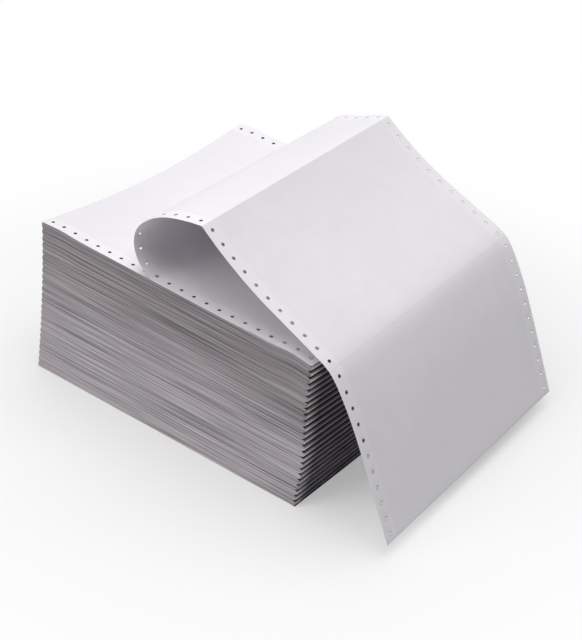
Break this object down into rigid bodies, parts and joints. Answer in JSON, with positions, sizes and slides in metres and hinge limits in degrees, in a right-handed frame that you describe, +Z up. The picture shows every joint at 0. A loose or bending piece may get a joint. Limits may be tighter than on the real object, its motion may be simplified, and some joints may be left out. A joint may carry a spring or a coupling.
{
  "type": "fanfold continuous form paper",
  "caption": "Folded pile of continuous form paper with feed holes; its top sheet is drawn up in a loop, creased and hung down over one end.",
  "frame": {"origin": "middle of the pile's flat base, on the surface that it stands on", "axes": "+X along a sheet from fold to fold, towards the end that the free sheet hangs over; +Y across the sheet; +Z up"},
  "size_m": [0.3667, 0.2414, 0.2097],
  "materials": {
    "paper": "uncoated matt white"
  },
  "bodies": {
    "root": {"fanfold_paper": "paper"}
  },
  "joints": []
}
